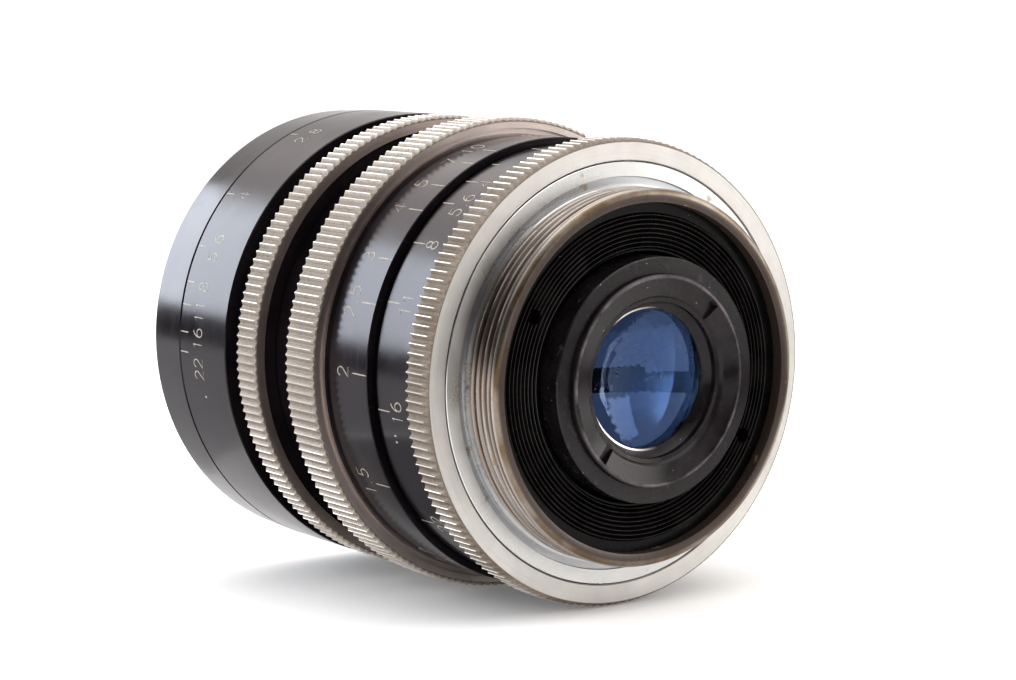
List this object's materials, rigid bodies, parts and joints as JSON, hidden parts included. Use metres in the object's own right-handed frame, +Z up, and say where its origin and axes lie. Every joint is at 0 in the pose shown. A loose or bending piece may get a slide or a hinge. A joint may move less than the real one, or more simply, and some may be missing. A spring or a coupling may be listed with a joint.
{
  "type": "camera lens",
  "caption": "Screw-mount manual-focus lens with knurled focus and aperture rings, distance and depth scales, ribbed rear baffle and coated glass.",
  "frame": {"origin": "on the optical axis, in the plane of the mount's flange seat", "axes": "+Y along the optical axis towards the front glass; -Y towards the camera or enlarger; +Z up, with the focus index 9 degrees from the top"},
  "size_m": [0.0554, 0.0648, 0.0554],
  "materials": {
    "mount_plating": "satin nickel plating, worn to brass on the thread crests",
    "grip_plating": "satin nickel plating on straight knurls, brown dirt in the grooves",
    "black_lacquer": "semi-gloss black lacquer with fine turning marks and filled engraving",
    "matt_black": "matt black anti-reflection paint",
    "grey_anodised": "dark grey anodised aluminium, turned",
    "brass": "greased turned brass",
    "steel": "plain steel",
    "coated_glass": "polished optical glass with a blue anti-reflection coating",
    "blade_steel": "blackened spring steel"
  },
  "bodies": {
    "mount_body": {"mount_flange": "mount_plating", "mount_ring": "grip_plating", "depth_scale_ring": "black_lacquer", "helicoid_housing": "brass", "rear_baffle": "matt_black", "guide_key": "steel", "guide_key_screws": "steel", "focus_retaining_ring": "brass"},
    "focus_ring": {"focus_sleeve": "brass", "distance_scale_ring": "black_lacquer", "focus_grip": "grip_plating", "helicoid_nut": "brass", "focus_stop_pin": "steel"},
    "optics_barrel": {"lens_barrel": "black_lacquer", "optics_tube": "matt_black", "front_ring": "black_lacquer", "front_retaining_ring": "matt_black", "front_element": "coated_glass", "front_spacer": "matt_black", "second_cell": "matt_black", "second_element": "coated_glass", "iris_housing": "matt_black", "iris_cover_ring": "matt_black", "rear_cell": "grey_anodised", "middle_element": "coated_glass", "group_clamp_ring": "matt_black", "rear_spacer_front": "matt_black", "doublet_crown": "coated_glass", "doublet_flint": "coated_glass", "rear_spacer_back": "matt_black", "rear_element": "coated_glass", "rear_retaining_ring": "grey_anodised"},
    "aperture_ring": {"aperture_scale_ring": "black_lacquer", "aperture_grip": "grip_plating", "iris_cam_ring": "brass", "iris_drive_screw": "steel"},
    "iris_blade_1": {"iris_blade_1": "blade_steel"},
    "iris_blade_2": {"iris_blade_2": "blade_steel"},
    "iris_blade_3": {"iris_blade_3": "blade_steel"},
    "iris_blade_4": {"iris_blade_4": "blade_steel"},
    "iris_blade_5": {"iris_blade_5": "blade_steel"},
    "iris_blade_6": {"iris_blade_6": "blade_steel"}
  },
  "joints": [
    {"name": "focus_turn", "type": "hinge", "parent": "mount_body", "child": "focus_ring", "pos_m": [0, 0.0194, 0], "axis": [0, 1, 0], "range_deg": [-8.4, 168]},
    {"name": "barrel_slide", "type": "slide", "parent": "mount_body", "child": "optics_barrel", "axis": [0, 1, 0], "range_m": [-0.00006, 0.00117]},
    {"name": "aperture_turn", "type": "hinge", "parent": "optics_barrel", "child": "aperture_ring", "pos_m": [0, 0.0424, 0], "axis": [0, 1, 0], "range_deg": [0, 66.7]},
    {"name": "blade_1_turn", "type": "hinge", "parent": "optics_barrel", "child": "iris_blade_1", "pos_m": [0.0159, 0.0333, 0], "axis": [0, 1, 0], "range_deg": [0, 25.3]},
    {"name": "blade_2_turn", "type": "hinge", "parent": "optics_barrel", "child": "iris_blade_2", "pos_m": [0.00795, 0.0333, -0.01377], "axis": [0, 1, 0], "range_deg": [0, 25.3]},
    {"name": "blade_3_turn", "type": "hinge", "parent": "optics_barrel", "child": "iris_blade_3", "pos_m": [-0.00795, 0.0333, -0.01377], "axis": [0, 1, 0], "range_deg": [0, 25.3]},
    {"name": "blade_4_turn", "type": "hinge", "parent": "optics_barrel", "child": "iris_blade_4", "pos_m": [-0.0159, 0.0333, 0], "axis": [0, 1, 0], "range_deg": [0, 25.3]},
    {"name": "blade_5_turn", "type": "hinge", "parent": "optics_barrel", "child": "iris_blade_5", "pos_m": [-0.00795, 0.0333, 0.01377], "axis": [0, 1, 0], "range_deg": [0, 25.3]},
    {"name": "blade_6_turn", "type": "hinge", "parent": "optics_barrel", "child": "iris_blade_6", "pos_m": [0.00795, 0.0333, 0.01377], "axis": [0, 1, 0], "range_deg": [0, 25.3]}
  ],
  "couplings": [
    {"joint": "barrel_slide", "follows": "focus_turn", "m_per_rad": 0.00039789},
    {"joint": "blade_1_turn", "follows": "aperture_turn", "ratio": 0.37781},
    {"joint": "blade_2_turn", "follows": "aperture_turn", "ratio": 0.37781},
    {"joint": "blade_3_turn", "follows": "aperture_turn", "ratio": 0.37781},
    {"joint": "blade_4_turn", "follows": "aperture_turn", "ratio": 0.37781},
    {"joint": "blade_5_turn", "follows": "aperture_turn", "ratio": 0.37781},
    {"joint": "blade_6_turn", "follows": "aperture_turn", "ratio": 0.37781}
  ]
}
